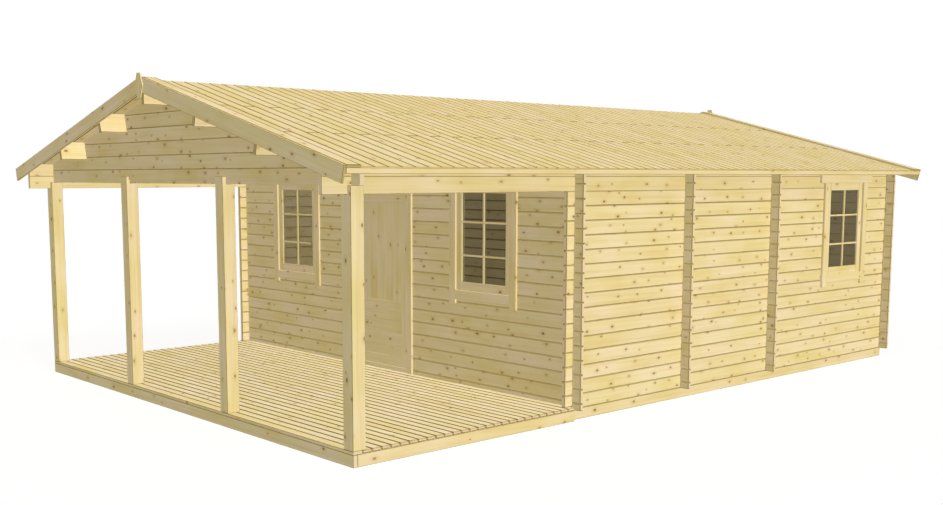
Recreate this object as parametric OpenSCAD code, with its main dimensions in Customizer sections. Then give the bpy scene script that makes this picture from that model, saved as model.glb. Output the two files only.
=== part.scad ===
// Prefabricated log bungalow with a veranda under the same low gable roof.
// X runs across the gable and is 0 on the ridge line, the veranda faces -Y,
// and Z is 0 under the base beams. All sizes are in millimetres.

/* [Logs] */
// Height of one log course
log_h = 135; // [110:1:160]
// Thickness of the wall logs
log_t = 44; // [34:1:70]
// Full log courses in a side wall, below the eave plate
wall_courses = 15; // [13:1:17]
// Depth of the V groove along each log joint
groove_d = 5; // [2:0.5:8]
// Width of the V groove along each log joint
groove_w = 9; // [4:0.5:16]
// Length of the cross wall log ends outside a side wall
cross_end = 108; // [60:1:160]
// Length of the side wall log ends past the front and back walls
side_end = 95; // [60:1:140]

/* [House] */
// Width over the outer faces of the side walls
house_w = 5715; // [5000:5:6500]
// Length over the outer faces of the front and back walls
house_l = 5800; // [5300:5:7000]
// Front wall face to the first partition's front face
first_cross = 1645; // [1300:5:1900]
// Front wall face to the second partition's front face
second_cross = 3200; // [2800:5:3600]
// Width of the opening in the first partition
first_gap_w = 1100; // [800:10:1600]
// Width of the opening in the second partition
second_gap_w = 800; // [700:10:1200]
// Height of the base beams
base_h = 102; // [70:1:150]
// Thickness of the base beams and joists
base_t = 44; // [34:1:70]
// Thickness of the house floor
floor_t = 28; // [18:1:40]
// Cross beams and joists under the house floor
house_joists_n = 7; // [4:1:10]

/* [Veranda] */
// Depth of the veranda from the deck's front edge to the front wall
porch_d = 2560; // [1800:5:3200]
// How far the deck reaches past the side wall faces
deck_over = 45; // [45:1:90]
// Thickness of the deck
deck_t = 28; // [18:1:40]
// Joists under the deck, between the outer beams
porch_joists_n = 5; // [3:1:8]
// Width of a square post
post_w = 126; // [110:1:150]
// Centre of a middle post from the ridge line
middle_post_x = 945; // [700:5:1300]

/* [Roof] */
// Slope of the roof in degrees
roof_pitch = 14.75; // [12:0.25:18]
// Thickness of the roof boards
roof_t = 19; // [15:1:28]
// Play between the roof boards and the timbers that touch them
roof_seat = 0.1; // [0.05:0.05:0.3]
// Height of the roof's top over a side wall's outer face, above two logs of eave plate
eave_lift = 10; // [10:1:60]
// How far the roof reaches past a side wall
eave_over = 312; // [250:2:400]
// How far the roof reaches past the deck's front edge
front_over = 255; // [200:5:320]
// How far the roof reaches past the back wall
back_over = 225; // [180:5:320]
// Height of the ridge purlin
ridge_h = 213; // [180:1:230]
// Depth of the other purlins, square to the slope
purlin_h = 190; // [160:1:210]
// Spacing of the purlins' tops, measured level
purlin_step = 984; // [850:1:1050]
// Width of a barge board, across the slope
barge_w = 140; // [110:1:160]
// Thickness of a barge board
barge_t = 22; // [18:1:30]
// Width of the verge boards, which lie on the roof boards behind the barge boards
verge_w = 140; // [100:1:180]
// Thickness of the verge boards
verge_t = 20; // [15:1:28]
// Height of the batten over the roof board ends
batten_h = 44; // [30:1:60]
// Thickness of that batten
batten_t = 25; // [18:1:40]
// Height of the plate that covers the barge boards' joint
apex_h = 240; // [180:1:280]
// Width of that plate at its middle
apex_w = 150; // [110:1:180]
// Width of that plate at its ends
apex_end_w = 50; // [30:1:80]
// How far that plate stands above the ridge
apex_rise = 57; // [30:1:80]
// Depth of the V cut in that plate's top
apex_notch = 12; // [6:1:24]
// Thickness of that plate
apex_t = 17; // [12:1:22]

/* [Windows] */
// Width of the glass
glass_w = 640; // [500:5:700]
// Height of the glass
glass_h = 905; // [750:5:950]
// Thickness of the glass
glass_t = 4; // [3:1:8]
// Depth of the glass behind the sash's face
glass_set = 16; // [10:1:24]
// Bottom edge of the glass above the base
glass_z = 1090; // [1000:2:1150]
// Width of the sash stiles
sash_w = 72; // [60:1:100]
// Width of the sash's top and bottom rails
rail_w = 86; // [70:1:100]
// Centre of a front window from the ridge line
front_window_x = 1648; // [1500:2:1750]
// Centre of a side window in front of the back wall's outer face
side_window_y = 1012; // [900:2:1400]
// Width of the trim boards around windows and door
trim_w = 95; // [70:1:110]
// Thickness of the trim boards
trim_t = 25; // [18:1:32]
// How far the window's head board reaches past its side trims
head_over = 92; // [0:1:120]
// Height of the window's head board
head_h = 92; // [80:1:105]
// How far the side trims run below the sill board
trim_drop = 45; // [0:1:80]
// How far the trim boards lap over the window frame
trim_lap = 8; // [4:1:20]

/* [Door] */
// Width of the door leaf
leaf_w = 868; // [760:2:920]
// Height of the door leaf
leaf_h = 1862; // [1780:2:1900]
// Thickness of the door leaf
leaf_t = 38; // [36:1:38]
// Width of the leaf's stiles and top rail
stile_w = 78; // [70:1:100]
// Height of the leaf's bottom rail
bottom_rail_h = 110; // [80:1:160]
// Bottom of the leaf's middle rail above the leaf's bottom edge
middle_rail_z = 612; // [500:2:800]
// Height of the leaf's middle rail
middle_rail_h = 108; // [80:1:140]
// Depth of the panels behind the leaf's faces
panel_set = 8; // [4:1:12]
// Height of the threshold above the base
sill_h = 70; // [50:1:90]
// Thickness of the door frame's jambs and head
jamb_t = 30; // [24:1:40]
// Width of the strip behind the leaf that it closes against
stop_w = 15; // [10:1:20]
// Gap beside the leaf on the hinge side, and above and below it
leaf_gap = 6; // [6:0.5:8]
// Gap beside the leaf on the lock side
lock_gap = 8; // [7.5:0.5:10]
// Gap between the outer trim and the jamb's inner edge
trim_reveal = 12; // [8:1:16]
// Radius of a hinge knuckle
knuckle_r = 7.5; // [6.5:0.5:8]
// Length of one half of a hinge
knuckle_l = 45; // [35:1:60]
// Radius of a hinge pin
pin_r = 4; // [3:0.5:5]
// Clearance around a hinge pin
pin_clear = 0.05; // [0.03:0.01:0.1]
// Gap between the two halves of a hinge
hinge_gap = 0.4; // [0.3:0.1:0.8]
// Pin axis in front of the leaf's face
pin_out = 12; // [10:0.5:12.5]
// Length of the hinge strap on the leaf
strap_l = 60; // [40:1:90]
// Thickness of the hinge strap
strap_t = 5; // [4.6:0.1:6]

/* [Hidden] */
$fn = 48;
half_w = house_w / 2;
inner_x = half_w - log_t;
half_log = log_h / 2;
plate_z = base_h + wall_courses * log_h;
cross_top_z = plate_z + 1.5 * log_h;
roof_l = front_over + porch_d + house_l + back_over;
roof_y0 = -roof_l / 2;
porch_y = roof_y0 + front_over;
front_y = porch_y + porch_d;
back_y = front_y + house_l;
roof_y1 = roof_l / 2;
deck_x = half_w + deck_over;
deck_z = base_h + deck_t;
eave_x = half_w + eave_over;
board_x = eave_x - batten_t - roof_seat;
ridge_z = plate_z + 2 * log_h + eave_lift + half_w * tan(roof_pitch);
gable_y = porch_y + post_w / 2 - log_t / 2;
frame_y0 = roof_y0 + barge_t;
frame_l = roof_l - 2 * barge_t;
verge_lift = verge_t / cos(roof_pitch);

sash_out_w = glass_w + 2 * sash_w;
sash_out_h = glass_h + 2 * rail_w;
sash_z = base_h + glass_z - rail_w;
hole_w = sash_out_w + 2 * trim_lap;
hole_h = sash_out_h + 2 * trim_lap;
hole_z = sash_z - trim_lap;
side_window = back_y - side_window_y;

leaf_z = base_h + sill_h + leaf_gap;
clear_w = leaf_w + leaf_gap + lock_gap;
clear_h = leaf_h + 2 * leaf_gap;
door_w = clear_w + 2 * jamb_t;
door_z = base_h + sill_h + clear_h;
head_z = door_z + jamb_t;
hinge_x = -clear_w / 2;
leaf_x = hinge_x + leaf_gap;
hinge_y = front_y - pin_out;
trim_in_x = clear_w / 2 + trim_reveal;
hinge_places = [0.12, 0.5, 0.86];

head_log_z = plate_z + half_log;
beam_post_z = plate_z + half_log;
middle_post_z = plate_z + log_h;
log_color = "burlywood";
board_color = "wheat";
trim_color = "tan";
far = 2 * (house_w + house_l);

// Height of the roof's top and underside over a place x
function roof_top(x) = ridge_z - abs(x) * tan(roof_pitch);
function roof_under(x) = roof_top(x) - roof_t / cos(roof_pitch) - roof_seat;

// Log joint heights between two heights, with the first joint at a given height
// and none in the top half log
function joints(first, low, high) =
    [for (z = [first : log_h : high - half_log]) if (z > low + groove_w) z];

// Outline of a wall of logs, thickness by height, with a V groove at each joint
module log_outline(low, high, zs) {
    face = [for (z = zs) each [[0, z - groove_w / 2], [groove_d, z], [0, z + groove_w / 2]]];
    back = [for (i = [len(face) - 1 : -1 : 0]) [log_t - face[i].x, face[i].y]];
    polygon(concat([[0, low]], face, [[0, high]], [[log_t, high]], back, [[log_t, low]]));
}

// Log wall along X from x0 to x1, with its outer face at y
module cross_logs(x0, x1, y, low, high) {
    zs = joints(base_h + half_log, low, high);
    translate([x0, y, 0]) rotate([90, 0, 90]) linear_extrude(x1 - x0) log_outline(low, high, zs);
}

// Log wall along Y from y0 to y1, with its face of lower X at x
module side_logs(x, y0, y1, low, high) {
    zs = joints(base_h + log_h, low, high);
    translate([x, y1, 0]) rotate([90, 0, 0]) linear_extrude(y1 - y0) log_outline(low, high, zs);
}

// The cross wall's log end outside the side wall, on one side
module log_ends(side, y, low) {
    x0 = side > 0 ? half_w : -half_w - cross_end;
    cross_logs(x0, x0 + cross_end, y, low, cross_top_z);
}

// Everything under the roof boards, and over a height
module under_roof(low) {
    points = [[-eave_x, low], [eave_x, low], [eave_x, roof_under(eave_x)],
        [0, roof_under(0)], [-eave_x, roof_under(eave_x)]];
    along_y(-far / 2, far) polygon(points);
}

// A section across X and Z, drawn out along Y from y
module along_y(y, length) {
    translate([0, y + length, 0]) rotate([90, 0, 0]) linear_extrude(length) children();
}

// Point on one side under the roof boards over x, moved along the slope and square into the house
function slope_point(side, x, along, deep) =
    [side * (x + along * cos(roof_pitch) - deep * sin(roof_pitch)),
        roof_under(x) - along * sin(roof_pitch) - deep * cos(roof_pitch)];

// Section of a purlin square to the slope, from a height over its top to its underside, with play around it
module purlin_section(side, x, over, play) {
    half = log_t / 2 + play;
    deep = purlin_h + play;
    polygon([slope_point(side, x, -half, -over), slope_point(side, x, half, -over),
        slope_point(side, x, half, deep), slope_point(side, x, -half, deep)]);
}

// The two purlins of one row
module purlins(row) {
    for (side = [-1, 1])
        along_y(frame_y0, frame_l) purlin_section(side, row * purlin_step, 0, 0);
}

// Notches for the purlins in a gable whose outer face is at y
module purlin_notches(y) {
    translate([-log_t / 2, y - log_t, roof_under(0) - ridge_h]) cube([log_t, 3 * log_t, 2 * ridge_h]);
    for (side = [-1, 1])
        for (row = [1, 2])
            along_y(y - log_t, 3 * log_t) purlin_section(side, row * purlin_step, purlin_h, roof_seat);
}

// Log gable between the eave plates, with notches for the purlins
module gable(y, low) {
    difference() {
        intersection() {
            cross_logs(-inner_x, inner_x, y, low, ridge_z);
            under_roof(low);
        }
        purlin_notches(y);
    }
}

// Hole through a wall for a window, with the wall's outer face at y = 0
module window_hole() {
    translate([-hole_w / 2, -log_t, hole_z]) cube([hole_w, 3 * log_t, hole_h]);
}

// Window with its sash in the wall and its trim on the wall's outer face at y = 0
module window_unit() {
    trim_x = sash_out_w / 2;
    top = sash_z + sash_out_h;
    sill_z = sash_z - trim_w;
    head_w = sash_out_w + 2 * trim_w + 2 * head_over;
    color(trim_color) difference() {
        union() {
            translate([-hole_w / 2, 0, hole_z]) cube([hole_w, log_t, hole_h]);
            for (x = [-trim_x - trim_w, trim_x])
                translate([x, -trim_t, sill_z - trim_drop]) cube([trim_w, trim_t, top - sill_z + trim_drop]);
            translate([-trim_x, -trim_t, sill_z]) cube([sash_out_w, trim_t, trim_w]);
            translate([-head_w / 2, -trim_t, top]) cube([head_w, trim_t, head_h]);
        }
        translate([-glass_w / 2, -log_t, sash_z + rail_w]) cube([glass_w, 3 * log_t, glass_h]);
    }
}

module window_pane() {
    translate([-glass_w / 2, glass_set, sash_z + rail_w]) cube([glass_w, glass_t, glass_h]);
}

// Places of the windows: the front wall's two and the side walls' two
module at_front(side) {
    translate([side * front_window_x, front_y, 0]) children();
}

module at_side(side) {
    translate([side * half_w, side_window, 0]) rotate([0, 0, side * 90]) children();
}

module house_side_beams() {
    color(log_color) for (x = [-half_w, half_w - base_t])
        translate([x, front_y, 0]) cube([base_t, house_l, base_h]);
}

module house_joists() {
    step = (house_l - base_t) / (house_joists_n - 1);
    color(log_color) for (i = [0 : house_joists_n - 1])
        translate([-half_w + base_t, front_y + i * step, 0]) cube([house_w - 2 * base_t, base_t, base_h]);
}

module porch_front_beam() {
    color(board_color) translate([-deck_x, porch_y, 0]) cube([2 * deck_x, base_t, base_h]);
}

module porch_side_beams() {
    color(board_color) for (x = [-deck_x, deck_x - base_t])
        translate([x, porch_y + base_t, 0]) cube([base_t, porch_d - base_t, base_h]);
}

module porch_joists() {
    step = (2 * deck_x - base_t) / (porch_joists_n + 1);
    color(board_color) for (i = [1 : porch_joists_n])
        translate([-deck_x + i * step, porch_y + base_t, 0]) cube([base_t, porch_d - base_t, base_h]);
}

module porch_deck() {
    color(board_color) translate([-deck_x, porch_y, base_h]) cube([2 * deck_x, porch_d, deck_t]);
}

module house_floor() {
    color(board_color) translate([-inner_x, front_y + log_t, base_h])
        cube([2 * inner_x, house_l - 2 * log_t, floor_t]);
}

// Side wall of full courses, raised over the deck at its front log ends
module side_wall(side) {
    x = side > 0 ? inner_x : -half_w;
    color(log_color) difference() {
        side_logs(x, front_y - side_end, back_y + side_end, base_h, plate_z);
        translate([x - log_t, front_y - 2 * side_end, 0]) cube([3 * log_t, 2 * side_end, deck_z]);
        at_side(side) window_hole();
    }
}

module left_wall() {
    side_wall(-1);
}

module right_wall() {
    side_wall(1);
}

// The two top logs of a side wall, which run on as the veranda's side beam
module eave_plate(side) {
    x = side > 0 ? inner_x : -half_w;
    color(log_color) difference() {
        intersection() {
            side_logs(x, frame_y0, frame_y0 + frame_l, plate_z, roof_under(inner_x));
            under_roof(plate_z);
        }
        at_side(side) window_hole();
    }
}

module left_eave_plate() {
    eave_plate(-1);
}

module right_eave_plate() {
    eave_plate(1);
}

module front_wall_left() {
    color(log_color) difference() {
        cross_logs(-inner_x, -door_w / 2, front_y, base_h, cross_top_z);
        at_front(-1) window_hole();
    }
    color(log_color) log_ends(-1, front_y, base_h);
}

module front_wall_right() {
    color(log_color) difference() {
        cross_logs(door_w / 2, inner_x, front_y, base_h, cross_top_z);
        at_front(1) window_hole();
    }
    color(log_color) log_ends(1, front_y, base_h);
}

module front_wall_over_door() {
    color(log_color) cross_logs(-door_w / 2, door_w / 2, front_y, head_z, cross_top_z);
}

module back_wall() {
    color(log_color) cross_logs(-inner_x, inner_x, back_y - log_t, base_h, cross_top_z);
    color(log_color) for (side = [-1, 1]) log_ends(side, back_y - log_t, base_h);
}

// Partition on the floor, in two wings beside an opening of width gap
module partition(y, gap) {
    low = base_h + floor_t;
    color(log_color) cross_logs(-inner_x, -gap / 2, y, low, cross_top_z);
    color(log_color) cross_logs(gap / 2, inner_x, y, low, cross_top_z);
    color(log_color) for (side = [-1, 1]) log_ends(side, y, base_h);
}

module first_partition() {
    partition(front_y + first_cross, first_gap_w);
}

module second_partition() {
    partition(front_y + second_cross, second_gap_w);
}

module partition_heads() {
    color(log_color)
        cross_logs(-first_gap_w / 2, first_gap_w / 2, front_y + first_cross, head_log_z, cross_top_z);
    color(log_color)
        cross_logs(-second_gap_w / 2, second_gap_w / 2, front_y + second_cross, head_log_z, cross_top_z);
}

module porch_gable() {
    color(log_color) gable(gable_y, beam_post_z);
    color(log_color) for (side = [-1, 1]) log_ends(side, gable_y, beam_post_z);
}

module front_gable() {
    color(log_color) gable(front_y, cross_top_z);
}

module back_gable() {
    color(log_color) gable(back_y - log_t, cross_top_z);
}

// Corner posts, forked around the veranda's side beams
module corner_posts() {
    color(trim_color) for (side = [-1, 1]) difference() {
        translate([side * (deck_x - post_w / 2) - post_w / 2, porch_y, deck_z])
            cube([post_w, post_w, beam_post_z - deck_z]);
        translate([side * (half_w - log_t / 2) - log_t / 2, porch_y - post_w, plate_z])
            cube([log_t, 3 * post_w, 2 * log_h]);
    }
}

// Middle posts, forked around the gable's lowest log
module middle_posts() {
    color(trim_color) for (side = [-1, 1]) difference() {
        translate([side * middle_post_x - post_w / 2, porch_y, deck_z])
            cube([post_w, post_w, middle_post_z - deck_z]);
        translate([side * middle_post_x - post_w, gable_y, beam_post_z]) cube([2 * post_w, log_t, 2 * log_h]);
    }
}

module ridge_purlin() {
    half = log_t / 2;
    low = roof_under(0) - ridge_h;
    points = [[-half, low], [half, low], [half, roof_under(half)], [0, roof_under(0)],
        [-half, roof_under(half)]];
    color(board_color) along_y(frame_y0, frame_l) polygon(points);
}

module upper_purlins() {
    color(board_color) purlins(1);
}

module lower_purlins() {
    color(board_color) purlins(2);
}

// Strip along one slope to x, from a height over the roof boards' top down across the slope
module slope_strip(side, x, lift, width, y, length) {
    top = ridge_z + lift;
    end = roof_top(x) + lift;
    points = [[0, top], [x, end], [x - width * sin(roof_pitch), end - width * cos(roof_pitch)],
        [0, top - width / cos(roof_pitch)]];
    along_y(y, length) polygon([for (p = points) [side * p.x, p.y]]);
}

module left_roof() {
    color(board_color) slope_strip(-1, board_x, 0, roof_t, frame_y0, frame_l);
}

module right_roof() {
    color(board_color) slope_strip(1, board_x, 0, roof_t, frame_y0, frame_l);
}

// Boards on the roof boards along the front and back edges of one slope
module verge_boards(side) {
    for (y = [frame_y0, frame_y0 + frame_l - verge_w])
        slope_strip(side, eave_x, verge_lift + roof_seat, verge_t, y, verge_w);
}

module left_verge_boards() {
    color(board_color) verge_boards(-1);
}

module right_verge_boards() {
    color(board_color) verge_boards(1);
}

// Battens over the roof board ends, level with the roof boards' top
module eave_battens() {
    low = roof_top(eave_x) - batten_h;
    points = [[eave_x - batten_t, low], [eave_x, low], [eave_x, roof_top(eave_x)],
        [eave_x - batten_t, roof_top(eave_x - batten_t)]];
    color(trim_color) for (side = [-1, 1])
        along_y(frame_y0, frame_l) polygon([for (p = points) [side * p.x, p.y]]);
}

// Barge board of one slope, level with the verge boards' top
module barge(side, y) {
    color(trim_color) slope_strip(side, eave_x, verge_lift, barge_w, y, barge_t);
}

module front_left_barge() {
    barge(-1, roof_y0);
}

module front_right_barge() {
    barge(1, roof_y0);
}

module back_left_barge() {
    barge(-1, roof_y1 - barge_t);
}

module back_right_barge() {
    barge(1, roof_y1 - barge_t);
}

// Plates over the barge boards' joints, with two tips at the top
module apex_plates() {
    top = ridge_z + apex_rise;
    points = [[apex_end_w / 2, top], [apex_w / 2, top - apex_h / 2], [apex_end_w / 2, top - apex_h],
        [-apex_end_w / 2, top - apex_h], [-apex_w / 2, top - apex_h / 2], [-apex_end_w / 2, top],
        [0, top - apex_notch]];
    color(trim_color) for (y = [roof_y0 - apex_t, roof_y1])
        along_y(y, apex_t) polygon(points);
}

module front_left_window() {
    at_front(-1) window_unit();
}

module front_right_window() {
    at_front(1) window_unit();
}

module left_window() {
    at_side(-1) window_unit();
}

module right_window() {
    at_side(1) window_unit();
}

module window_glass() {
    color("dimgray", 0.5) for (side = [-1, 1]) {
        at_front(side) window_pane();
        at_side(side) window_pane();
    }
}

// Door frame: jambs, head and threshold in the wall, trim outside and a stop inside
module door_frame() {
    trim_x = trim_in_x + trim_w;
    trim_top = door_z + trim_reveal + trim_w;
    stop_y = front_y + log_t;
    color(trim_color) difference() {
        union() {
            translate([-door_w / 2, front_y, base_h]) cube([door_w, log_t, head_z - base_h]);
            translate([-trim_x, front_y - trim_t, deck_z]) cube([2 * trim_x, trim_t, trim_top - deck_z]);
            translate([-door_w / 2, stop_y, base_h + floor_t])
                cube([door_w, trim_t, head_z - base_h - floor_t]);
        }
        translate([-clear_w / 2, front_y, leaf_z - leaf_gap]) cube([clear_w, log_t, clear_h]);
        translate([-trim_in_x, front_y - 2 * trim_t, base_h])
            cube([2 * trim_in_x, 2 * trim_t, door_z + trim_reveal - base_h]);
        translate([stop_w - clear_w / 2, front_y, leaf_z - leaf_gap])
            cube([clear_w - 2 * stop_w, 3 * log_t, clear_h - stop_w]);
    }
}

// Door leaf with an upper and a lower panel set back on both faces
module door_leaf() {
    panel_w = leaf_w - 2 * stile_w;
    upper_z = middle_rail_z + middle_rail_h;
    panels = [[bottom_rail_h, middle_rail_z], [upper_z, leaf_h - stile_w]];
    color(trim_color) translate([leaf_x, front_y, leaf_z]) difference() {
        cube([leaf_w, leaf_t, leaf_h]);
        for (p = panels)
            for (y = [-leaf_t, leaf_t - panel_set])
                translate([stile_w, y, p[0]]) cube([panel_w, leaf_t + (y < 0 ? panel_set : 0), p[1] - p[0]]);
    }
}

// Fixed half of each hinge, with its pin, held by the outer trim
module hinge_pins() {
    color("gray") for (place = hinge_places)
        translate([hinge_x, hinge_y, leaf_z + place * leaf_h]) {
            cylinder(r = knuckle_r, h = knuckle_l);
            cylinder(r = pin_r, h = 2 * knuckle_l);
            translate([-trim_reveal, -pin_r, 0]) cube([trim_reveal, 2 * pin_r, knuckle_l]);
        }
}

// Moving half of each hinge, with its strap on the leaf's face
module hinge_straps() {
    color("gray") for (place = hinge_places)
        translate([hinge_x, hinge_y, leaf_z + place * leaf_h + knuckle_l + hinge_gap]) difference() {
            union() {
                cylinder(r = knuckle_r, h = knuckle_l);
                translate([0, pin_out - strap_t, 0]) cube([strap_l, strap_t, knuckle_l]);
            }
            translate([0, 0, -knuckle_l]) cylinder(r = pin_r + pin_clear, h = 3 * knuckle_l);
        }
}

house_side_beams();
house_joists();
porch_front_beam();
porch_side_beams();
porch_joists();
porch_deck();
house_floor();
left_wall();
right_wall();
left_eave_plate();
right_eave_plate();
front_wall_left();
front_wall_right();
front_wall_over_door();
back_wall();
first_partition();
second_partition();
partition_heads();
porch_gable();
front_gable();
back_gable();
corner_posts();
middle_posts();
ridge_purlin();
upper_purlins();
lower_purlins();
left_roof();
right_roof();
left_verge_boards();
right_verge_boards();
eave_battens();
front_left_barge();
front_right_barge();
back_left_barge();
back_right_barge();
apex_plates();
front_left_window();
front_right_window();
left_window();
right_window();
window_glass();
door_frame();
door_leaf();
hinge_pins();
hinge_straps();
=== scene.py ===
import bmesh
import bpy
import math
import random
from mathutils import Matrix, Vector


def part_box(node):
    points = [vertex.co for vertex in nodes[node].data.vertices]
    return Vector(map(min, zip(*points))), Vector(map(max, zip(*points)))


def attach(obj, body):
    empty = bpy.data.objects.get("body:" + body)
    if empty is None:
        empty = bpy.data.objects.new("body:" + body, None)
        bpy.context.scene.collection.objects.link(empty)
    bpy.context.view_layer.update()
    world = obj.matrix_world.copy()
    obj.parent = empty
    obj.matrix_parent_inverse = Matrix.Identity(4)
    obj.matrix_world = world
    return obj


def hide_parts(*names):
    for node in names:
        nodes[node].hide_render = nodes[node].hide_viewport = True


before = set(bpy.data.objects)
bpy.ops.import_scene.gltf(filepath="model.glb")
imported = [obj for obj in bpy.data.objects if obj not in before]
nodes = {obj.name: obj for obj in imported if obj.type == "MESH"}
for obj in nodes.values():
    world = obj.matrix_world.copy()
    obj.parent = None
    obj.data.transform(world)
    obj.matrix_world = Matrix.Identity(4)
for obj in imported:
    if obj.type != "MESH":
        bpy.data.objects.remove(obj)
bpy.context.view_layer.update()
scene = bpy.context.scene
print("frame loaded:", len(nodes), "nodes")

# Places read from the frame, in metres
wallLow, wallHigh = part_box("right_wall")
frontLow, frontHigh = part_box("front_wall_right")
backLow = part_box("back_wall")[0]
deckLow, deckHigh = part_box("porch_deck")
floorLow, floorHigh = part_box("house_floor")
roofLow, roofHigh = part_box("right_roof")
leafLow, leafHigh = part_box("door_leaf")
logs = {
    "courses": 15,
    "chamfer": 0.0081,
    "innerChamfer": 0.010,
    "lap": 0.03,  # of a log end over the deck onto the log behind it
    "proud": 0.0001,  # how far that lap stands out
    "thinnest": 0.004,  # a thinner strip beside an opening is left out
    "jointClear": 0.01,  # least height of a wall's first and last course
    "overcut": 0.1,  # past the wall's end
}
logHeight = (wallHigh.z - wallLow.z) / logs["courses"]
outerX, innerX = wallHigh.x, wallLow.x
frontY = frontLow.y
baseTop, crossTop = wallLow.z, frontHigh.z
logThick = outerX - innerX


# Node helpers, for shader and geometry trees alike
def wire(tree, value, socket):
    if isinstance(value, bpy.types.NodeSocket):
        tree.links.new(value, socket)
    else:
        socket.default_value = value


def num(tree, operation, *values):
    node = tree.nodes.new("ShaderNodeMath")
    node.operation = operation
    for value, socket in zip(values, node.inputs):
        wire(tree, value, socket)
    return node.outputs[0]


def vec(tree, operation, *values):
    node = tree.nodes.new("ShaderNodeVectorMath")
    node.operation = operation
    for value, socket in zip(values, node.inputs):
        wire(tree, value, socket)
    return node.outputs["Value" if operation == "LENGTH" else "Vector"]


def scaled(tree, vector, factor):
    result = vec(tree, "SCALE", vector)
    wire(tree, factor, result.node.inputs["Scale"])
    return result


def joinXyz(tree, x, y, z):
    node = tree.nodes.new("ShaderNodeCombineXYZ")
    for value, socket in zip((x, y, z), node.inputs):
        wire(tree, value, socket)
    return node.outputs[0]


def splitXyz(tree, value):
    node = tree.nodes.new("ShaderNodeSeparateXYZ")
    wire(tree, value, node.inputs[0])
    return node.outputs


def ramp(tree, value, fromLow, fromHigh, toLow=0.0, toHigh=1.0, smooth=True):
    node = tree.nodes.new("ShaderNodeMapRange")
    node.interpolation_type = "SMOOTHSTEP" if smooth else "LINEAR"
    for given, socket in zip((value, fromLow, fromHigh, toLow, toHigh), node.inputs):
        wire(tree, given, socket)
    return node.outputs[0]


def blend(tree, share, first, second, mode="MIX"):
    node = tree.nodes.new("ShaderNodeMix")
    node.data_type, node.blend_type = "RGBA", mode
    wire(tree, share, node.inputs[0])
    wire(tree, first, node.inputs[6])
    wire(tree, second, node.inputs[7])
    return node.outputs[2]


def noise(tree, vector, detail):
    node = tree.nodes.new("ShaderNodeTexNoise")
    wire(tree, vector, node.inputs["Vector"])
    node.inputs["Scale"].default_value = 1.0
    node.inputs["Detail"].default_value = detail
    node.inputs["Roughness"].default_value = 0.5
    return node.outputs[0]


def addSockets(tree, inputs, outputs):
    for name, kind, start in inputs:
        socket = tree.interface.new_socket(name=name, in_out="INPUT", socket_type="NodeSocket" + kind)
        if start is not None:
            socket.default_value = start
    for name, kind in outputs:
        tree.interface.new_socket(name=name, in_out="OUTPUT", socket_type="NodeSocket" + kind)
    return tree.nodes.new("NodeGroupInput").outputs, tree.nodes.new("NodeGroupOutput").inputs


# Pine: growth lines along the grain, oval knots, end grain rings, and painted shade in the joints and on the
# chamfers
tones = {
    "log": (0.915, 0.757, 0.378, 1),
    # painted shade: the roof tone is darker than the log tone, as the roof's upper faces get more light than
    # the walls
    "roof": (0.850, 0.708, 0.368, 1),
    # painted light: the deck tone is lighter than the log tone, to make up for the light the veranda roof
    # keeps off the deck
    "deck": (0.95, 0.815, 0.475, 1),
    "end": (0.90, 0.72, 0.455, 1),
    # painted shade: a darker end grain for end faces in shade, on purlins, barges, verge and roof boards
    "shadedEnd": (0.58, 0.46, 0.19, 1),
}
pineLook = {
    "seedShift": (43.0, 11.7, 5.3),  # moves the pattern on from timber to timber
    "knotCell": (3.1, 9.6),  # knots to a metre, along and across
    "knotScatter": 0.85,
    "knotSize": (0.0047, 0.0118),
    "knotOval": 1.7,
    "knotCore": (1.4, 0.45),  # from the core's edge to its heart, in knot sizes
    "knotStrength": (0.45, 0.95),
    "knotColor": (0.27, 0.145, 0.030, 1),
    "haloSize": 4.0,
    "haloShare": 0.35,
    "haloTint": (0.80, 0.66, 0.50, 1),
    "swing": 0.012,  # of the growth lines round a knot
    "figure": ((0.30, 7.0, 7.0), 1.5),  # scale along, across and deep, then detail
    "streak": ((0.7, 42.0, 42.0), 2.0),
    "fine": ((4.0, 260.0, 260.0), 1.0),
    "patch": ((1.7, 3.0, 1.0), 1.0),
    "ringCount": 11.0,
    "ringShare": 0.38,
    "streakRamp": (0.42, 0.75, 0.0, 0.4),
    "fineRamp": (0.4, 0.8, 0.0, 0.25),
    "lateWood": (0.90, 0.84, 0.70, 1),
    "tintSpread": 91.7,
    "tintShare": 0.4,
    "darkTint": (0.93, 0.91, 0.88, 1),
    "pinkTint": (1.03, 0.96, 1.06, 1),
    "paleRamp": (0.48, 0.70),
    "paleWood": (1.04, 1.035, 1.20, 1),
    "richRamp": (0.50, 0.28),
    "richWood": (0.96, 0.945, 0.82, 1),
    "heartSpread": 0.05,
    "heartDepth": 0.035,
    "endRingCount": 190.0,
    "endRingShare": 0.35,
    "endRing": (0.82, 0.74, 0.72, 1),
    # painted shade: the colour of the grooves and chamfers
    "shadeLineColor": (0.25, 0.16, 0.022, 1),
    "roughness": (0.62, 0.74),
    "bump": (0.15, 0.0006),  # strength and distance
}


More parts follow.
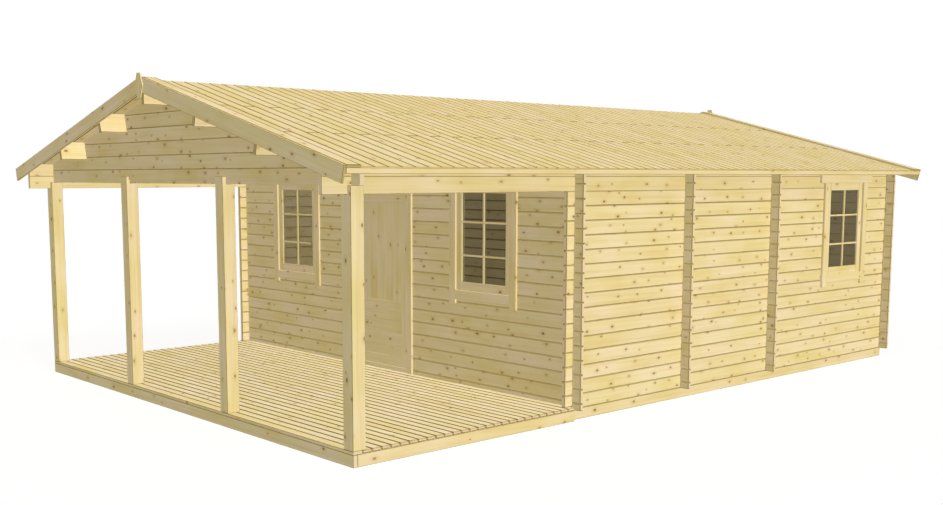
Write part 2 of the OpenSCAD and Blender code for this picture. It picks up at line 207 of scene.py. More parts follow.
def buildPineGrain(look):
    tree = bpy.data.node_groups.new("pineGrain", "ShaderNodeTree")
    given, result = addSockets(
        tree,
        [("Grain", "Vector", None), ("Seed", "Float", 0.0), ("End", "Float", 0.0), ("Line", "Float", 0.0),
         ("Tone", "Color", tones["log"]), ("EndTone", "Color", tones["end"]), ("Knots", "Float", 0.6)],
        [("Color", "Color"), ("Roughness", "Float"), ("Height", "Float")])
    seed = given["Seed"]
    place = vec(tree, "ADD", given["Grain"], scaled(tree, look["seedShift"], seed))
    along, across, deep = splitXyz(tree, place)

    # one knot at most in each cell of the knot grid
    cellLong, cellWide = look["knotCell"]
    spot = vec(tree, "MULTIPLY", place, (cellLong, cellWide, 0.0))
    cells = tree.nodes.new("ShaderNodeTexVoronoi")
    cells.voronoi_dimensions = "2D"
    cells.inputs["Scale"].default_value = 1.0
    cells.inputs["Randomness"].default_value = look["knotScatter"]
    wire(tree, spot, cells.inputs["Vector"])
    fromKnot = vec(tree, "SUBTRACT", spot, cells.outputs["Position"])
    away = vec(tree, "LENGTH", vec(tree, "DIVIDE", fromKnot, (cellLong * look["knotOval"], cellWide, 1.0)))
    chance = splitXyz(tree, cells.outputs["Color"])
    size = ramp(tree, chance[0], 0.0, 1.0, *look["knotSize"], smooth=False)
    there = num(tree, "LESS_THAN", chance[1], given["Knots"])
    coreEdge, coreHeart = [num(tree, "MULTIPLY", size, share) for share in look["knotCore"]]
    core = num(tree, "MULTIPLY", there, ramp(tree, away, coreEdge, coreHeart))
    haloEdge = num(tree, "MULTIPLY", size, look["haloSize"])
    halo = num(tree, "MULTIPLY", there, ramp(tree, away, haloEdge, size))

    # growth lines swing round the knots
    swung = joinXyz(tree, along, num(tree, "MULTIPLY_ADD", halo, look["swing"], across), deep)

    def layer(name, point):
        scale, detail = look[name]
        return noise(tree, vec(tree, "MULTIPLY", point, scale), detail)

    rings = num(tree, "PINGPONG", num(tree, "MULTIPLY", layer("figure", swung), look["ringCount"]), 1.0)
    streak, fine = layer("streak", swung), layer("fine", swung)
    lines = num(tree, "ADD", ramp(tree, streak, *look["streakRamp"]), ramp(tree, fine, *look["fineRamp"]))
    late = num(tree, "ADD", num(tree, "MULTIPLY", num(tree, "POWER", rings, 2.0), look["ringShare"]), lines)
    wood = blend(tree, late, given["Tone"], look["lateWood"], "MULTIPLY")

    # each timber is a little darker or pinker than the next, with pale and rich patches
    own = tree.nodes.new("ShaderNodeTexWhiteNoise")
    own.noise_dimensions = "1D"
    wire(tree, num(tree, "MULTIPLY", seed, look["tintSpread"]), own.inputs["W"])
    tints = splitXyz(tree, own.outputs["Color"])
    for tint, color in zip(tints, (look["darkTint"], look["pinkTint"])):
        wood = blend(tree, num(tree, "MULTIPLY", tint, look["tintShare"]), wood, color, "MULTIPLY")
    patch = layer("patch", place)
    wood = blend(tree, ramp(tree, patch, *look["paleRamp"]), wood, look["paleWood"], "MULTIPLY")
    wood = blend(tree, ramp(tree, patch, *look["richRamp"]), wood, look["richWood"], "MULTIPLY")
    wood = blend(tree, num(tree, "MULTIPLY", halo, look["haloShare"]), wood, look["haloTint"], "MULTIPLY")
    strength = ramp(tree, chance[2], 0.0, 1.0, *look["knotStrength"])
    wood = blend(tree, num(tree, "MULTIPLY", core, strength), wood, look["knotColor"])

    # end grain: rings round a heart below the timber
    aside = num(tree, "MULTIPLY", seed, look["heartSpread"])
    fromHeart = vec(tree, "ADD", given["Grain"], joinXyz(tree, 0.0, aside, look["heartDepth"]))
    ringSize = vec(tree, "LENGTH", vec(tree, "MULTIPLY", fromHeart, (0.0, 1.0, 1.0)))
    endRings = num(tree, "PINGPONG", num(tree, "MULTIPLY", ringSize, look["endRingCount"]), 1.0)
    endShare = num(tree, "MULTIPLY", endRings, look["endRingShare"])
    endWood = blend(tree, endShare, given["EndTone"], look["endRing"], "MULTIPLY")
    wood = blend(tree, given["End"], wood, endWood)
    # painted shade: grooves and chamfers are darkened towards the line colour
    wood = blend(tree, given["Line"], wood, look["shadeLineColor"])
    wire(tree, wood, result["Color"])
    wire(tree, ramp(tree, late, 0.0, 1.0, *look["roughness"], smooth=False), result["Roughness"])
    wire(tree, num(tree, "MULTIPLY", num(tree, "SUBTRACT", fine, late), 0.5), result["Height"])
    return tree


pineGrain = buildPineGrain(pineLook)


def newMaterial(name):
    material = bpy.data.materials.new(name)
    material.use_nodes = True
    tree = material.node_tree
    return material, tree, tree.nodes["Principled BSDF"]


def finishPine(tree, surface, **inputs):
    grain = tree.nodes.new("ShaderNodeGroup")
    grain.node_tree = pineGrain
    for name, value in inputs.items():
        wire(tree, value, grain.inputs[name])
    bump = tree.nodes.new("ShaderNodeBump")
    bump.inputs["Strength"].default_value, bump.inputs["Distance"].default_value = pineLook["bump"]
    wire(tree, grain.outputs["Height"], bump.inputs["Height"])
    wire(tree, grain.outputs["Color"], surface.inputs["Base Color"])
    wire(tree, grain.outputs["Roughness"], surface.inputs["Roughness"])
    wire(tree, bump.outputs[0], surface.inputs["Normal"])
    surface.inputs["Specular IOR Level"].default_value = 0.0


# Every timber carries its own grain, seed and end faces, and painted shade on its chamfers, marked 1 along
# it and 2 at its ends
def timberPine(name, tone, endTone, knots, edge, endEdge):
    material, tree, surface = newMaterial(name)
    found = {}
    for attribute in ("grain", "seed", "endFace", "edgeFace"):
        node = tree.nodes.new("ShaderNodeAttribute")
        node.attribute_name = attribute
        found[attribute] = node.outputs["Vector" if attribute == "grain" else "Fac"]
    mark = found["edgeFace"]
    # how dark the painted shade on the chamfers is, along the timber and at its ends
    strength = ramp(tree, mark, 1.0, 2.0, edge, endEdge, smooth=False)
    line = num(tree, "MULTIPLY", num(tree, "MINIMUM", mark, 1.0), strength)
    finishPine(tree, surface, Grain=found["grain"], Seed=found["seed"], End=found["endFace"], Line=line,
               Tone=tone, EndTone=endTone, Knots=knots)
    return material


# porchPine for the front wall and gablePine for the gables get darker painted shade lines than logPine, set
# to the lower light on those faces
logPine = timberPine("logPine", tones["log"], tones["end"], knots=0.80, edge=0.60, endEdge=0.85)
porchPine = timberPine("porchPine", tones["log"], tones["end"], knots=0.95, edge=0.66, endEdge=0.85)
innerPine = timberPine("innerPine", tones["log"], tones["end"], knots=0.65, edge=1.0, endEdge=1.0)
gablePine = timberPine("gablePine", tones["log"], tones["end"], knots=0.95, edge=0.82, endEdge=0.82)
roofPine = timberPine("roofPine", tones["roof"], tones["shadedEnd"], knots=0.45, edge=1.0, endEdge=1.0)
deckPine = timberPine("deckPine", tones["deck"], tones["end"], knots=0.4, edge=1.0, endEdge=0.6)
deckEdgePine = timberPine("deckEdgePine", tones["log"], tones["end"], knots=0.4, edge=0.9, endEdge=0.6)
joineryPine = timberPine("joineryPine", tones["log"], tones["end"], knots=0.35, edge=0.45, endEdge=0.45)
framePine = timberPine("framePine", tones["log"], tones["end"], knots=0.55, edge=1.0, endEdge=1.0)
purlinPine = timberPine("purlinPine", tones["log"], tones["shadedEnd"], knots=0.55, edge=1.0, endEdge=1.0)
doorPine = timberPine("doorPine", tones["log"], tones["end"], knots=0.3, edge=0.38, endEdge=0.38)
print("pine finishes made")


# Geometry Nodes tree that sets a chamfered timber at each point
def buildUnitTimber():
    mesh = bpy.data.meshes.new("unitTimber")
    corners = [(x, y, z) for x in (-1, 1) for y in (-1, 1) for z in (-1, 1)]
    signs, insets, index = [], [], {}
    for corner in corners:
        for face in range(3):  # the corner's point on its X, Y or Z face
            index[corner, face] = len(signs)
            signs.append(corner)
            insets.append([0 if k == face else corner[k] for k in range(3)])
    faces, ends, edges = [], [], []

    def addFace(points, end, edge):
        faces.append(points)
        ends.append(float(end))
        edges.append(float(edge))

    def pointAt(axis, side, p, q, face):
        corner = [p, q]
        corner.insert(axis, side)
        return index[tuple(corner), face]

    for axis in range(3):
        one, two = [k for k in range(3) if k != axis]
        for side in (-1, 1):
            ring = ((-1, -1), (1, -1), (1, 1), (-1, 1))
            addFace([pointAt(axis, side, p, q, axis) for p, q in ring], axis == 0, 0)
        for p in (-1, 1):
            for q in (-1, 1):
                ring = ((-1, one), (1, one), (1, two), (-1, two))
                edge = 1 if axis == 0 else 2
                addFace([pointAt(axis, side, p, q, face) for side, face in ring], False, edge)
    for corner in corners:
        addFace([index[corner, face] for face in range(3)], False, 1)
    sketchChamfer = 0.05  # only to tell which way the faces point
    points = [[s * 0.5 - sketchChamfer * n for s, n in zip(*pair)] for pair in zip(signs, insets)]
    mesh.from_pydata(points, [], faces)
    for name, rows in (("sign", signs), ("inset", insets)):
        layer = mesh.attributes.new(name, "FLOAT_VECTOR", "POINT")
        layer.data.foreach_set("vector", [float(c) for row in rows for c in row])
    for name, row in (("endFace", ends), ("edgeFace", edges)):
        mesh.attributes.new(name, "FLOAT", "FACE").data.foreach_set("value", row)
    for polygon in mesh.polygons:
        if polygon.normal.dot(polygon.center) < 0:
            polygon.flip()
    return bpy.data.objects.new("unitTimber", mesh)


def namedField(tree, name, kind):
    node = tree.nodes.new("GeometryNodeInputNamedAttribute")
    node.data_type = kind
    node.inputs["Name"].default_value = name
    return node.outputs[0]


def buildTimberTree():
    tree = bpy.data.node_groups.new("timberSet", "GeometryNodeTree")
    given, result = addSockets(
        tree,
        [("Timbers", "Geometry", None), ("Unit", "Object", None), ("Chamfer", "Float", 0.002),
         ("Finish", "Material", None)],
        [("Geometry", "Geometry")])
    unit = tree.nodes.new("GeometryNodeObjectInfo")
    wire(tree, given["Unit"], unit.inputs["Object"])
    setOut = tree.nodes.new("GeometryNodeInstanceOnPoints")
    wire(tree, given["Timbers"], setOut.inputs["Points"])
    wire(tree, unit.outputs["Geometry"], setOut.inputs["Instance"])
    solid = tree.nodes.new("GeometryNodeRealizeInstances")
    wire(tree, setOut.outputs[0], solid.inputs[0])
    half = scaled(tree, namedField(tree, "size", "FLOAT_VECTOR"), 0.5)
    inset = scaled(tree, namedField(tree, "inset", "FLOAT_VECTOR"), given["Chamfer"])
    corner = vec(tree, "MULTIPLY", namedField(tree, "sign", "FLOAT_VECTOR"), half)
    local = vec(tree, "SUBTRACT", corner, inset)
    turn = tree.nodes.new("FunctionNodeEulerToRotation")
    wire(tree, namedField(tree, "turn", "FLOAT_VECTOR"), turn.inputs[0])
    turned = tree.nodes.new("FunctionNodeRotateVector")
    wire(tree, local, turned.inputs[0])
    wire(tree, turn.outputs[0], turned.inputs[1])
    keep = tree.nodes.new("GeometryNodeStoreNamedAttribute")
    keep.data_type, keep.domain = "FLOAT_VECTOR", "POINT"
    keep.inputs["Name"].default_value = "grain"
    wire(tree, solid.outputs[0], keep.inputs["Geometry"])
    shift = joinXyz(tree, namedField(tree, "shift", "FLOAT"), 0.0, 0.0)
    wire(tree, vec(tree, "ADD", local, shift), keep.inputs["Value"])
    seat = tree.nodes.new("GeometryNodeSetPosition")
    wire(tree, keep.outputs[0], seat.inputs["Geometry"])
    centre = namedField(tree, "centre", "FLOAT_VECTOR")
    wire(tree, vec(tree, "ADD", turned.outputs[0], centre), seat.inputs["Position"])
    finish = tree.nodes.new("GeometryNodeSetMaterial")
    wire(tree, seat.outputs[0], finish.inputs["Geometry"])
    wire(tree, given["Finish"], finish.inputs["Material"])
    wire(tree, finish.outputs[0], result["Geometry"])
    return tree


unitTimber = buildUnitTimber()
timberTree = buildTimberTree()
axisOf = {"x": Vector((1, 0, 0)), "y": Vector((0, 1, 0)), "z": Vector((0, 0, 1))}


# A timber as centre, size, turn, seed and shift: its length, width and thickness follow three directions
def timberAlong(centre, lengths, directions, seed):
    turn = Matrix(directions).transposed()
    if turn.determinant() < 0:
        turn = Matrix((directions[0], directions[1], -directions[2])).transposed()
    return {"centre": Vector(centre), "size": Vector(lengths), "turn": Vector(turn.to_euler()),
            "seed": seed, "shift": Vector(centre).dot(directions[0])}


def timber(low, high, along, seed):
    low, high = Vector(low), Vector(high)
    span = dict(zip("xyz", high - low))
    rest = sorted((a for a in "xyz" if a != along), key=lambda a: -span[a])
    order = [along] + rest
    return timberAlong((low + high) / 2, [span[a] for a in order], [axisOf[a] for a in order], seed)


# Runs a tree on a set of points, and keeps what it makes as a plain mesh
def runTree(name, points, layers, tree, inputs, dropLayers):
    mesh = bpy.data.meshes.new(name + "Points")
    mesh.from_pydata([tuple(p) for p in points], [], [])
    for label, rows in layers.items():
        if isinstance(rows[0], float):
            mesh.attributes.new(label, "FLOAT", "POINT").data.foreach_set("value", rows)
        else:
            layer = mesh.attributes.new(label, "FLOAT_VECTOR", "POINT")
            layer.data.foreach_set("vector", [c for row in rows for c in row])
    maker = bpy.data.objects.new(name + "Points", mesh)
    scene.collection.objects.link(maker)
    modifier = maker.modifiers.new(name, "NODES")
    modifier.node_group = tree
    for item in tree.interface.items_tree:
        if item.item_type == "SOCKET" and item.in_out == "INPUT" and item.name in inputs:
            modifier[item.identifier] = inputs[item.name]
    made = maker.evaluated_get(bpy.context.evaluated_depsgraph_get())
    mesh = bpy.data.meshes.new_from_object(made)
    bpy.data.objects.remove(maker)
    mesh.name = name
    for layer in [a.name for a in mesh.attributes if a.name in dropLayers]:
        mesh.attributes.remove(mesh.attributes[layer])
    piece = bpy.data.objects.new(name, mesh)
    scene.collection.objects.link(piece)
    return piece


def makeTimbers(name, timbers, finish, chamfer, body, slot, *replaced):
    layers = {key: [t[key] for t in timbers] for key in ("centre", "size", "turn", "seed", "shift")}
    inputs = {"Unit": unitTimber, "Chamfer": chamfer, "Finish": finish}
    dropLayers = ("centre", "size", "turn", "shift", "sign", "inset")
    piece = runTree(name, layers["centre"], layers, timberTree, inputs, dropLayers)
    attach(piece, body)
    if replaced:
        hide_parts(*replaced)
    print(name, "has", len(timbers), "timbers")


# Seeds are drawn in a fixed order
dice = random.Random(11)


# Wall logs: each course is cut round the holes, and what is left above or below a hole stays
def courseBoxes(start, end, low, high, holes):
    boxes = []
    for hole in sorted(h for h in holes if h[0] < end and h[1] > start and h[2] < high and h[3] > low):
        if hole[0] > start:
            boxes.append((start, hole[0], low, high))
        for part in ((low, hole[2]), (hole[3], high)):
            if part[1] - part[0] > logs["thinnest"]:
                boxes.append((max(hole[0], start), min(hole[1], end), *part))
        start = hole[1]
    if start < end:
        boxes.append((start, end, low, high))
    return boxes


def courseHeights(first, low, high):
    joints = [first + k * logHeight for k in range(math.ceil((high - first) / logHeight))]
    clear = logs["jointClear"]
    marks = [low] + [z for z in joints if low + clear < z < high - clear] + [high]
    return list(zip(marks, marks[1:]))


windowLow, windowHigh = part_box("right_window")
paneLow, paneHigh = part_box("window_glass")
joinery = {
    "lap": 0.008,  # the trim boards' lap over the frame
    "stile": 0.072,
    "rail": 0.086,
    "trim": 0.095,
    "trimDrop": 0.045,
    "headOver": 0.092,
    "headHeight": 0.092,
    "paneWidth": 0.640,
    "paneSet": 0.016,
    "paneThick": 0.004,
    "barWidth": 0.020,
    "barSet": 0.003,  # from the wall's face back to the outer bars
    "innerBar": 0.013,
    "barStep": 0.001,  # by which a cross bar is thinner than the upright one
    "barRows": (0.30, 0.675),  # heights of the cross bars on the pane
    "chamfer": 0.002,
}
paneLowZ, paneHighZ = paneLow.z, paneHigh.z
sashHalf = joinery["paneWidth"] / 2 + joinery["stile"]
holeHalf = sashHalf + joinery["lap"]
holeLow = paneLowZ - joinery["rail"] - joinery["lap"]
holeHigh = paneHighZ + joinery["rail"] + joinery["lap"]
sideWindowY = (windowLow.y + windowHigh.y) / 2
frontWindowLow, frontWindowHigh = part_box("front_right_window")
frontWindowX = (frontWindowLow.x + frontWindowHigh.x) / 2
sideHole = (sideWindowY - holeHalf, sideWindowY + holeHalf, holeLow, holeHigh)
deckCut = (wallLow.y - logs["overcut"], frontY, 0.0, deckHigh.z)

for sideName, side in (("left", -1), ("right", 1)):
    wall = []
    for low, high in courseHeights(baseTop, baseTop, wallHigh.z):
        seed = dice.random()
        for y0, y1, z0, z1 in courseBoxes(wallLow.y, wallHigh.y, low, high, [sideHole, deckCut]):
            lap = y1 == frontY  # the log end over the deck laps onto the log behind it
            y1 += logs["lap"] * lap
            proud = logs["proud"] * lap
            x0, x1 = sorted((side * (innerX - proud), side * (outerX + proud)))
            wall.append(timber((x0, y0, z0), (x1, y1, z1), "y", seed))
    makeTimbers(sideName + "WallLogs", wall, logPine, logs["chamfer"], "cabin", "log_pine",
                sideName + "_wall")


def crossWall(y0, low, gaps):
    wall, ends = [], []
    endX = frontHigh.x
    for z0, z1 in courseHeights(baseTop + logHeight / 2, baseTop, crossTop):
        seed = dice.random()
        for a, b, c, d in courseBoxes(-innerX, innerX, max(z0, low), z1, gaps):
            wall.append(timber((a, y0, c), (b, y0 + logThick, d), "x", seed))
        for a, b in ((-endX, -outerX), (outerX, endX)):
            ends.append(timber((a, y0, z0), (b, y0 + logThick, z1), "x", seed))
    return wall, ends


doorFrameLow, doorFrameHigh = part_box("door_frame")
overDoorLow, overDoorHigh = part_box("front_wall_over_door")
frontHoles = [(x - holeHalf, x + holeHalf, holeLow, holeHigh) for x in (-frontWindowX, frontWindowX)]
frontHoles.append((overDoorLow.x, overDoorHigh.x, 0.0, overDoorLow.z))
wall, ends = crossWall(frontY, baseTop, frontHoles)
makeTimbers("frontWallLogs", wall + ends, porchPine, logs["chamfer"], "cabin", "log_pine",
            "front_wall_left", "front_wall_right", "front_wall_over_door")
wall, ends = crossWall(backLow.y, baseTop, [])
makeTimbers("backWallLogs", wall + ends, logPine, logs["chamfer"], "cabin", "log_pine", "back_wall")
partitions = {"first_partition": 0.55, "second_partition": 0.40}  # half the width of each opening
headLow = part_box("partition_heads")[0].z
inside, outside = [], []
for name, half in partitions.items():
    wall, ends = crossWall(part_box(name)[0].y, floorHigh.z, [(-half, half, 0.0, headLow)])
    inside += wall
    outside += ends
makeTimbers("partitionLogs", inside, innerPine, logs["innerChamfer"], "cabin", "log_pine",
            *partitions, "partition_heads")
makeTimbers("partitionLogEnds", outside, logPine, logs["chamfer"], "cabin", "log_pine")


# Roof boards run from the ridge to the eave, and every second one is in three lengths
roofBoards = {
    "count": 66,
    "thick": 0.019,
    "pitch": 14.75,
    "chamfer": 0.0105,
    "uneven": 0.001,  # at the eave
    "first": 0.15,  # width of the first board, as a share of the others
    "joints": (1.10, 2.12),  # from the ridge
}
ridgeZ = roofHigh.z
pitch = math.radians(roofBoards["pitch"])
slopeLength = roofHigh.x / math.cos(pitch)
boardStep = (roofHigh.y - roofLow.y) / roofBoards["count"]
boardMarks = [roofLow.y + max(0.0, k - 1 + roofBoards["first"]) * boardStep
              for k in range(roofBoards["count"] + 1)] + [roofHigh.y]


def slopeFrame(side):
    down = Vector((side * math.cos(pitch), 0, -math.sin(pitch)))
    up = Vector((side * math.sin(pitch), 0, math.cos(pitch)))
    return down, up


for sideName, side in (("left", -1), ("right", 1)):
    down, up = slopeFrame(side)
    boards = []
    thick = roofBoards["thick"]
    for k, (y0, y1) in enumerate(zip(boardMarks, boardMarks[1:])):
        ends = [thick * math.tan(pitch), slopeLength - dice.random() * roofBoards["uneven"]]
        if k % 2 == 0:
            ends[1:1] = roofBoards["joints"]
        for start, end in zip(ends, ends[1:]):
            middle = Vector((0, (y0 + y1) / 2, ridgeZ)) + down * (start + end) / 2
            boards.append(timberAlong(middle - up * thick / 2, (end - start, y1 - y0, thick),
                                      (down, axisOf["y"], up), dice.random()))
    makeTimbers(sideName + "RoofBoards", boards, roofPine, roofBoards["chamfer"], "cabin", "board_pine",
                sideName + "_roof")

# Deck boards run across the veranda, floor boards along the house
deckBoards = {"count": 27, "gap": 0.004, "chamfer": 0.0092, "frontChamfer": 0.004}
deckStep = (deckHigh.y - deckLow.y + deckBoards["gap"]) / deckBoards["count"]
deckWidth = deckStep - deckBoards["gap"]
boards = []
for k in range(deckBoards["count"]):
    y = deckLow.y + k * deckStep
    low, high = (deckLow.x, y, deckLow.z), (deckHigh.x, y + deckWidth, deckHigh.z)
    boards.append(timber(low, high, "x", dice.random()))
makeTimbers("deckFrontBoard", boards[:1], deckEdgePine, deckBoards["frontChamfer"], "cabin", "board_pine")
makeTimbers("deckBoards", boards[1:], deckPine, deckBoards["chamfer"], "cabin", "board_pine", "porch_deck")

floorBoards = {"count": 47, "chamfer": 0.001}
step = (floorHigh.x - floorLow.x) / floorBoards["count"]
boards = []
for k in range(floorBoards["count"]):
    x = floorLow.x + k * step
    low, high = (x, floorLow.y, floorLow.z), (x + step, floorHigh.y, floorHigh.z)
    boards.append(timber(low, high, "y", dice.random()))
makeTimbers("floorBoards", boards, deckPine, floorBoards["chamfer"], "cabin", "board_pine", "house_floor")


# Windows: trim boards on the wall, frame and sash in it, glazing bars on both faces of the pane
def windowTimbers(centre, outward):
    along = "x" if outward[1] else "y"
    made = []

    def add(u0, u1, d0, d1, v0, v1, grain):
        face, spread, out = Vector(centre), axisOf[along], Vector(outward)
        first = face + spread * u0 + out * d0
        last = face + spread * u1 + out * d1
        low = [min(a, b) for a, b in zip(first, last)]
        high = [max(a, b) for a, b in zip(first, last)]
        low[2], high[2] = v0, v1
        made.append(timber(low, high, grain, dice.random()))

    trim, rail, paneSet = joinery["trim"], joinery["rail"], joinery["paneSet"]
    sashLow, sashHigh = paneLowZ - rail, paneHighZ + rail
    thick = windowHigh.x - outerX
    paneHalf = joinery["paneWidth"] / 2
    trimFoot = sashLow - trim - joinery["trimDrop"]
    for s in (-1, 1):
        add(s * sashHalf, s * (sashHalf + trim), 0, thick, trimFoot, sashHigh, "z")
        add(s * paneHalf, s * holeHalf, -logThick, 0, holeLow, holeHigh, "z")
    add(-sashHalf, sashHalf, 0, thick, sashLow - trim, sashLow, along)
    reach = sashHalf + trim + joinery["headOver"]
    add(-reach, reach, 0, thick, sashHigh, sashHigh + joinery["headHeight"], along)
    add(-paneHalf, paneHalf, -logThick, 0, holeLow, paneLowZ, along)
    add(-paneHalf, paneHalf, -logThick, 0, paneHighZ, holeHigh, along)
    half, back = joinery["barWidth"] / 2, paneSet + joinery["paneThick"]
    for d0, d1 in ((-paneSet, -joinery["barSet"]), (-back - joinery["innerBar"], -back)):
        add(-half, half, d0, d1, paneLowZ, paneHighZ, "z")
        for share in joinery["barRows"]:
            z = paneLowZ + share * (paneHighZ - paneLowZ)
            for u0, u1 in ((-paneHalf, -half), (half, paneHalf)):
                add(u0, u1, d0, d1 - joinery["barStep"], z - half, z + half, along)
    return made


for name, node, centre, outward in (
        ("frontLeft", "front_left_window", (-frontWindowX, frontY, 0), (0, -1, 0)),
        ("frontRight", "front_right_window", (frontWindowX, frontY, 0), (0, -1, 0)),
        ("left", "left_window", (-outerX, sideWindowY, 0), (-1, 0, 0)),
        ("right", "right_window", (outerX, sideWindowY, 0), (1, 0, 0))):
    makeTimbers(name + "WindowJoinery", windowTimbers(centre, outward), joineryPine, joinery["chamfer"],
                "cabin", "joinery_pine", node)


# Door: frame, trim and stops stay with the house, the leaf swings
door = {
    "jamb": 0.030,
    "sill": 0.070,
    "trim": 0.095,
    "stop": 0.015,
    "stile": 0.078,
    "bottomRail": 0.110,
    "middleRail": (0.612, 0.720),  # from the leaf's foot
    "panelSet": 0.008,
    "upperBoards": 5,
    "lowerJoints": (0.194, 0.370, 0.511),
    "chamfer": 0.0015,
}


def doorFrameTimbers():
    holeX, headZ = overDoorHigh.x, overDoorLow.z
    clearX, clearTop, sillTop = holeX - door["jamb"], headZ - door["jamb"], baseTop + door["sill"]
    edgeX, edgeTop = doorFrameHigh.x, doorFrameHigh.z
    trimX, trimTop = edgeX - door["trim"], edgeTop - door["trim"]
    stopX, stopTop = clearX - door["stop"], clearTop - door["stop"]
    y0, y1, y2, y3 = doorFrameLow.y, frontY, frontY + logThick, doorFrameHigh.y
    boxes = [
        ((-clearX, y1, clearTop), (clearX, y2, headZ), "x"),
        ((-clearX, y1, baseTop), (clearX, y2, sillTop), "x"),
        ((-edgeX, y0, trimTop), (edgeX, y1, edgeTop), "x"),
        ((-holeX, y2, stopTop), (holeX, y3, headZ), "x"),
        ((-stopX, y2, floorHigh.z), (stopX, y3, sillTop), "x")]
    for side in (-1, 1):
        for inner, outer, front, back, low, high in (
                (clearX, holeX, y1, y2, baseTop, headZ),
                (trimX, edgeX, y0, y1, deckHigh.z, trimTop),
                (stopX, holeX, y2, y3, floorHigh.z, stopTop)):
            x0, x1 = sorted((side * inner, side * outer))
            boxes.append(((x0, front, low), (x1, back, high), "z"))
    return [timber(low, high, along, dice.random()) for low, high, along in boxes]


def doorLeafTimbers():
    x0, x1 = leafLow.x + door["stile"], leafHigh.x - door["stile"]
    front, back, bottom, top = leafLow.y, leafHigh.y, leafLow.z, leafHigh.z
    rails = [(0.0, door["bottomRail"]), door["middleRail"], (top - bottom - door["stile"], top - bottom)]
    boxes = [((leafLow.x, front, bottom), (x0, back, top), "z"),
             ((x1, front, bottom), (leafHigh.x, back, top), "z")]
    boxes += [((x0, front, bottom + low), (x1, back, bottom + high), "x") for low, high in rails]
    front, back = front + door["panelSet"], back - door["panelSet"]
    marks = [rails[0][1], *door["lowerJoints"], rails[1][0]]
    boxes += [((x0, front, bottom + low), (x1, back, bottom + high), "x")
              for low, high in zip(marks, marks[1:])]
    width = (x1 - x0) / door["upperBoards"]
    low, high = bottom + rails[1][1], bottom + rails[2][0]
    for k in range(door["upperBoards"]):
        boxes.append(((x0 + k * width, front, low), (x0 + (k + 1) * width, back, high), "z"))
    return [timber(low, high, along, dice.random()) for low, high, along in boxes]


makeTimbers("doorFrameTimbers", doorFrameTimbers(), joineryPine, door["chamfer"], "cabin", "joinery_pine",
            "door_frame")
makeTimbers("doorLeafTimbers", doorLeafTimbers(), doorPine, door["chamfer"], "door", "joinery_pine",
            "door_leaf")


# Posts, beams, purlins, gables and roof edges: the CAD shape with planed edges, and painted shade on the
# planed edges and in the log joints
planing = {
    "frame": 0.003,
    "log": 0.0025,
    # width of the painted shade band along the upper face's edges
    "rim": 0.018,
    "weld": 0.00002,
    "flatAngle": 1.0,  # degrees
    "sharpAngle": 55.0,
    "upper": 0.9,  # from here on, how far a face's normal follows the direction in question
    "upright": 0.9,
    "groove": 0.3,
    "endFace": 0.8,
    "endEdge": 0.4,
    "turned": 0.75,
}


def planeNode(node, along, finish, chamfer, firstJoint=None, rim=0.0):
    shape = bmesh.new()
    shape.from_mesh(nodes[node].data)
    bmesh.ops.remove_doubles(shape, verts=shape.verts, dist=planing["weld"])
    flat, sharp = math.radians(planing["flatAngle"]), math.radians(planing["sharpAngle"])
    bmesh.ops.dissolve_limit(shape, angle_limit=flat, verts=shape.verts, edges=shape.edges)
    edges = [e for e in shape.edges if e.is_manifold and e.is_convex and e.calc_face_angle() > sharp]
    planed = set(bmesh.ops.bevel(shape, geom=edges, offset=chamfer, segments=1, profile=0.5, affect="EDGES",
                                 clamp_overlap=True)["faces"])
    shape.normal_update()
    if rim:  # painted shade: a dark band on the upper face, along its edges
        tops = [f for f in shape.faces if f.normal.z > planing["upper"]]
        planed |= set(bmesh.ops.inset_individual(shape, faces=tops, thickness=rim)["faces"])
        shape.normal_update()
        shape.faces.index_update()
    upright = along.z > planing["upright"]
    across = axisOf["x"] if upright else (axisOf["z"] - along * along.z).normalized()
    deep = along.cross(across)
    seeds, rows, island, sides = {}, [], {}, []
    for start in shape.faces:
        spread = [] if start in island else [start]
        while spread:
            face = spread.pop()
            island[face] = start.index
            spread += [f for e in face.edges for f in e.link_faces if f not in island]
    ordered = sorted(shape.faces, key=lambda f: f.calc_center_median().y) if rim else shape.faces
    for face in ordered:  # by place, as an inset leaves its faces in no fixed order
        middle = face.calc_center_median()
        course = 0 if firstJoint is None else math.floor((middle.z - firstJoint) / logHeight)
        island[face] = island[face], course
        seeds.setdefault(island[face], dice.random())
    for face in shape.faces:
        normal = face.normal
        # painted shade: planed faces and the grooves between log courses are marked dark, 1 along and 2 at
        # the ends
        groove = firstJoint is not None and min(abs(normal.z), abs(normal.dot(deep))) > planing["groove"]
        dark = face in planed or groove
        lengthwise = abs(normal.dot(along))
        end = not dark and lengthwise > planing["endFace"]
        mark = 0.0 if not dark else 2.0 if lengthwise > planing["endEdge"] else 1.0
        rows.append((seeds[island[face]], float(end), mark))
        turned = abs(normal.dot(across)) > planing["turned"]
        sides.append((along, deep, across) if turned else (along, across, deep))
    words = node.split("_")
    name = words[0] + "".join(w.title() for w in words[1:]) + "Planed"
    mesh = bpy.data.meshes.new(name)
    shape.to_mesh(mesh)
    shape.free()
    grain = mesh.attributes.new("grain", "FLOAT_VECTOR", "CORNER")
    grain.data.foreach_set("vector", [mesh.vertices[v].co.dot(axis) for polygon in mesh.polygons
                                      for v in polygon.vertices for axis in sides[polygon.index]])
    for label, column in zip(("seed", "endFace", "edgeFace"), zip(*rows)):
        mesh.attributes.new(label, "FLOAT", "FACE").data.foreach_set("value", column)
    mesh.materials.append(finish)
    piece = bpy.data.objects.new(name, mesh)
    scene.collection.objects.link(piece)
    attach(piece, "cabin")
    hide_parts(node)
    print(name, "has", len(mesh.polygons), "faces")


